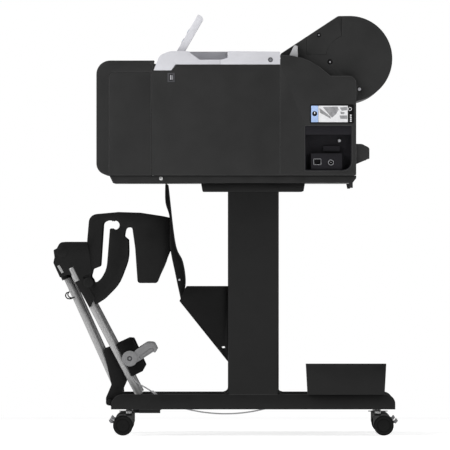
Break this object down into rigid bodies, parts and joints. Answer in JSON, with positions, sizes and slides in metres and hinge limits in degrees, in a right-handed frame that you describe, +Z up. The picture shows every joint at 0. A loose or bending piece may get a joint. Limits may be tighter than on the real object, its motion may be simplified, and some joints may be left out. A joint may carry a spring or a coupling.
{
  "type": "large format plotter",
  "caption": "Floor-standing large format roll plotter with ink towers at both ends, tilting panel, round roll cover, T-leg stand on casters and folding front paper stacker.",
  "frame": {"origin": "on the floor, under the middle of the machine's bounding box", "axes": "+X to the printer's right seen by a user at the front, -Y towards the user at the front, +Z up"},
  "size_m": [1.392, 0.9552, 1.165],
  "materials": {
    "body_black": "matte textured",
    "light_grey": "satin",
    "frame_steel": "powder coat",
    "inner_grey": "matte",
    "bright_metal": "brushed",
    "rubber": "matte",
    "glass_dark": "smoked",
    "screen": "gloss",
    "paper": "uncoated paper",
    "stand_black": "powder coat",
    "cloth_black": "woven",
    "cable_grey": "matte",
    "lever_grey": "satin",
    "caster_black": "satin"
  },
  "bodies": {
    "printer": {"main_frame": "frame_steel", "side_cover_right": "body_black", "side_cover_left": "body_black", "tower_panels": "body_black", "top_housing_right": "light_grey", "top_housing_left": "light_grey", "rear_cover": "body_black", "ejection_guide": "body_black", "platen": "inner_grey", "carriage_rail": "bright_metal", "drive_belt": "rubber", "ink_tanks": "inner_grey", "maintenance_cartridge": "inner_grey", "electrical_units": "inner_grey", "connector_panel": "inner_grey", "case_screws": "bright_metal", "stand_columns": "stand_black", "stand_feet": "stand_black", "stand_stay": "stand_black", "gussets": "stand_black", "guide_sheet": "cloth_black", "accessory_pocket": "body_black", "sensor_cable": "cable_grey"},
    "tank_cover_right": {"tank_cover_right": "body_black"},
    "tank_cover_left": {"tank_cover_left": "body_black"},
    "top_cover": {"top_cover": "light_grey", "cover_window": "glass_dark"},
    "operator_panel": {"operator_panel": "light_grey", "touch_screen": "screen"},
    "power_button": {"power_button": "inner_grey"},
    "stop_button": {"stop_button": "inner_grey"},
    "roll_cover": {"roll_cover": "body_black"},
    "paper_roll": {"paper_roll": "paper", "roll_spindle": "inner_grey"},
    "release_lever": {"release_lever": "lever_grey"},
    "carriage": {"carriage": "inner_grey"},
    "drive_pulley": {"drive_pulley": "bright_metal"},
    "idle_pulley": {"idle_pulley": "bright_metal"},
    "feed_roller": {"feed_roller": "rubber"},
    "pinch_rollers": {"pinch_rollers": "inner_grey"},
    "stacker": {"stacker_plates": "body_black", "stacker_tubes": "bright_metal", "clamp_blocks": "body_black", "stacker_brackets": "stand_black", "stacker_rods": "stand_black", "stacker_fabric": "cloth_black"},
    "lock_lever_right": {"lock_lever_right": "lever_grey"},
    "lock_lever_left": {"lock_lever_left": "lever_grey"},
    "caster_fork_fr": {"caster_fork_fr": "caster_black"},
    "caster_wheels_fr": {"caster_wheels_fr": "rubber"},
    "caster_brake_fr": {"caster_brake_fr": "caster_black"},
    "caster_fork_fl": {"caster_fork_fl": "caster_black"},
    "caster_wheels_fl": {"caster_wheels_fl": "rubber"},
    "caster_brake_fl": {"caster_brake_fl": "caster_black"},
    "caster_fork_rr": {"caster_fork_rr": "caster_black"},
    "caster_wheels_rr": {"caster_wheels_rr": "rubber"},
    "caster_brake_rr": {"caster_brake_rr": "caster_black"},
    "caster_fork_rl": {"caster_fork_rl": "caster_black"},
    "caster_wheels_rl": {"caster_wheels_rl": "rubber"},
    "caster_brake_rl": {"caster_brake_rl": "caster_black"}
  },
  "joints": [
    {"name": "tank_cover_right_hinge", "type": "hinge", "parent": "printer", "child": "tank_cover_right", "pos_m": [0.585, -0.20494, 1.03], "axis": [1, 0, 0], "range_deg": [-75, 0]},
    {"name": "tank_cover_left_hinge", "type": "hinge", "parent": "printer", "child": "tank_cover_left", "pos_m": [-0.585, -0.20494, 1.03], "axis": [1, 0, 0], "range_deg": [-75, 0]},
    {"name": "top_cover_hinge", "type": "hinge", "parent": "printer", "child": "top_cover", "pos_m": [0, 0.12406, 1.04], "axis": [1, 0, 0], "range_deg": [-70, 0]},
    {"name": "panel_tilt", "type": "hinge", "parent": "printer", "child": "operator_panel", "pos_m": [0.593, -0.12664, 1.05], "axis": [1, 0, 0], "range_deg": [-60, 0]},
    {"name": "power_button_press", "type": "slide", "parent": "operator_panel", "child": "power_button", "axis": [0, 0.866, -0.5], "range_m": [0, 0.0015]},
    {"name": "stop_button_press", "type": "slide", "parent": "operator_panel", "child": "stop_button", "axis": [0, 0.866, -0.5], "range_m": [0, 0.0015]},
    {"name": "roll_cover_hinge", "type": "hinge", "parent": "printer", "child": "roll_cover", "pos_m": [0, 0.36986, 0.959], "axis": [1, 0, 0], "range_deg": [-60, 0]},
    {"name": "roll_spin", "type": "hinge", "parent": "printer", "child": "paper_roll", "pos_m": [0, 0.34266, 1.0432], "axis": [1, 0, 0], "continuous": true},
    {"name": "release_lever_swing", "type": "hinge", "parent": "printer", "child": "release_lever", "pos_m": [0.672, 0.18906, 1.022], "axis": [1, 0, 0], "range_deg": [-25, 0]},
    {"name": "carriage_slide", "type": "slide", "parent": "printer", "child": "carriage", "axis": [1, 0, 0], "range_m": [-1.1, 0]},
    {"name": "drive_pulley_spin", "type": "hinge", "parent": "printer", "child": "drive_pulley", "pos_m": [0.64, 0.10206, 0.9825], "axis": [0, 1, 0], "continuous": true},
    {"name": "idle_pulley_spin", "type": "hinge", "parent": "printer", "child": "idle_pulley", "pos_m": [-0.64, 0.10206, 0.9825], "axis": [0, 1, 0], "continuous": true},
    {"name": "feed_roller_spin", "type": "hinge", "parent": "printer", "child": "feed_roller", "pos_m": [0, 0.12106, 0.922], "axis": [1, 0, 0], "continuous": true},
    {"name": "pinch_roller_spin", "type": "hinge", "parent": "printer", "child": "pinch_rollers", "pos_m": [0, 0.12106, 0.9453], "axis": [1, 0, 0], "continuous": true},
    {"name": "stacker_fold", "type": "hinge", "parent": "printer", "child": "stacker", "pos_m": [0, -0.32194, 0.094], "axis": [1, 0, 0], "range_deg": [0, 30]},
    {"name": "lock_lever_right_turn", "type": "hinge", "parent": "stacker", "child": "lock_lever_right", "pos_m": [0.46, -0.26584, 0.213], "axis": [1, 0, 0], "range_deg": [0, 60]},
    {"name": "lock_lever_left_turn", "type": "hinge", "parent": "stacker", "child": "lock_lever_left", "pos_m": [-0.46, -0.26584, 0.213], "axis": [1, 0, 0], "range_deg": [0, 60]},
    {"name": "caster_swivel_fr", "type": "hinge", "parent": "printer", "child": "caster_fork_fr", "pos_m": [0.5, -0.26794, 0.06], "axis": [0, 0, 1], "continuous": true},
    {"name": "caster_roll_fr", "type": "hinge", "parent": "caster_fork_fr", "child": "caster_wheels_fr", "pos_m": [0.5, -0.28444, 0.0275], "axis": [1, 0, 0], "continuous": true},
    {"name": "caster_brake_fr_press", "type": "hinge", "parent": "caster_fork_fr", "child": "caster_brake_fr", "pos_m": [0.5, -0.30644, 0.0365], "axis": [1, 0, 0], "range_deg": [0, 14]},
    {"name": "caster_swivel_fl", "type": "hinge", "parent": "printer", "child": "caster_fork_fl", "pos_m": [-0.5, -0.26794, 0.06], "axis": [0, 0, 1], "continuous": true},
    {"name": "caster_roll_fl", "type": "hinge", "parent": "caster_fork_fl", "child": "caster_wheels_fl", "pos_m": [-0.5, -0.28444, 0.0275], "axis": [1, 0, 0], "continuous": true},
    {"name": "caster_brake_fl_press", "type": "hinge", "parent": "caster_fork_fl", "child": "caster_brake_fl", "pos_m": [-0.5, -0.30644, 0.0365], "axis": [1, 0, 0], "range_deg": [0, 14]},
    {"name": "caster_swivel_rr", "type": "hinge", "parent": "printer", "child": "caster_fork_rr", "pos_m": [0.5, 0.42206, 0.06], "axis": [0, 0, 1], "continuous": true},
    {"name": "caster_roll_rr", "type": "hinge", "parent": "caster_fork_rr", "child": "caster_wheels_rr", "pos_m": [0.5, 0.43856, 0.0275], "axis": [1, 0, 0], "continuous": true},
    {"name": "caster_brake_rr_press", "type": "hinge", "parent": "caster_fork_rr", "child": "caster_brake_rr", "pos_m": [0.5, 0.46056, 0.0365], "axis": [1, 0, 0], "range_deg": [-14, 0]},
    {"name": "caster_swivel_rl", "type": "hinge", "parent": "printer", "child": "caster_fork_rl", "pos_m": [-0.5, 0.42206, 0.06], "axis": [0, 0, 1], "continuous": true},
    {"name": "caster_roll_rl", "type": "hinge", "parent": "caster_fork_rl", "child": "caster_wheels_rl", "pos_m": [-0.5, 0.43856, 0.0275], "axis": [1, 0, 0], "continuous": true},
    {"name": "caster_brake_rl_press", "type": "hinge", "parent": "caster_fork_rl", "child": "caster_brake_rl", "pos_m": [-0.5, 0.46056, 0.0365], "axis": [1, 0, 0], "range_deg": [-14, 0]}
  ],
  "couplings": [
    {"joint": "drive_pulley_spin", "follows": "carriage_slide", "rad_per_m": 125},
    {"joint": "idle_pulley_spin", "follows": "carriage_slide", "rad_per_m": 125},
    {"joint": "pinch_roller_spin", "follows": "feed_roller_spin", "ratio": -1.875}
  ]
}
